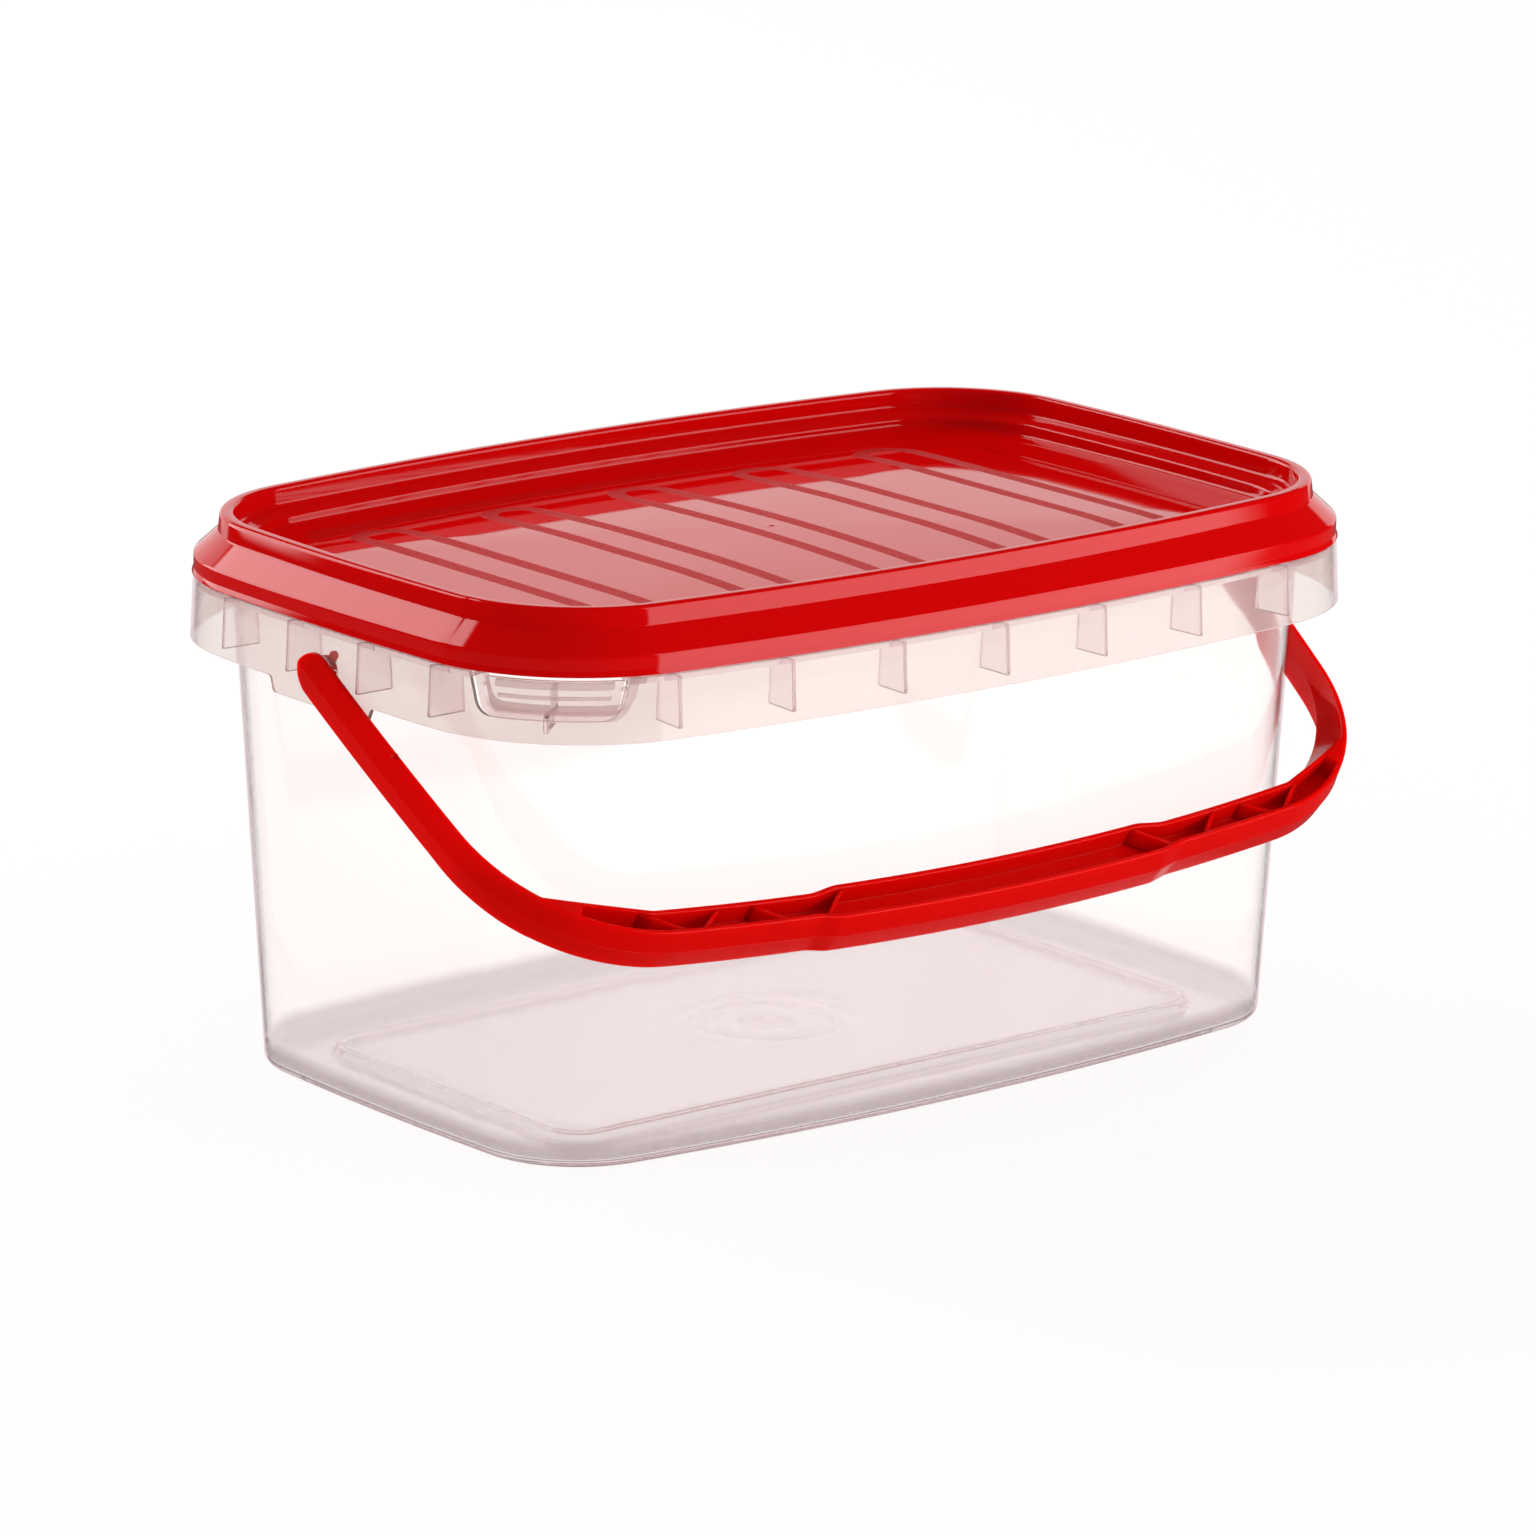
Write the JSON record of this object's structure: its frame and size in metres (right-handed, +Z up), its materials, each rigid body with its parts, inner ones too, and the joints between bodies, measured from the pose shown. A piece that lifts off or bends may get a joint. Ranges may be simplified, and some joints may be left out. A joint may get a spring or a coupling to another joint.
{
  "type": "lidded food tub with bail handle",
  "caption": "Rectangular food tub with drafted walls, rounded corners, a snap lid with a stacking recess, a tamper skirt with a tear tab, and a swinging bail handle.",
  "frame": {"origin": "centre of the foot, on the surface that the tub stands on", "axes": "+Z up, X along the long side, -Y the side where the bail rests; the tear tab is at the corner of -X and -Y"},
  "size_m": [0.2204, 0.1449, 0.1087],
  "materials": {
    "tub_plastic": "translucent natural polypropylene, glossy",
    "lid_plastic": "glossy red polypropylene",
    "bail_plastic": "satin red polypropylene"
  },
  "bodies": {
    "tub_body": {"tub": "tub_plastic"},
    "lid_body": {"lid": "lid_plastic"},
    "bail_body": {"bail_handle": "bail_plastic"},
    "tab_body": {"tear_tab": "tub_plastic"}
  },
  "joints": [
    {"name": "lid_lift", "type": "slide", "parent": "tub_body", "child": "lid_body", "axis": [0, 0, 1], "range_m": [0, 0.04]},
    {"name": "bail_swing", "type": "hinge", "parent": "tub_body", "child": "bail_body", "pos_m": [0, 0, 0.0884], "axis": [-1, 0, 0], "range_deg": [0, 246]},
    {"name": "tab_fold", "type": "hinge", "parent": "tub_body", "child": "tab_body", "pos_m": [-0.09597, -0.05677, 0.09015], "axis": [0.7071, -0.7071, 0], "range_deg": [0, 75]}
  ]
}
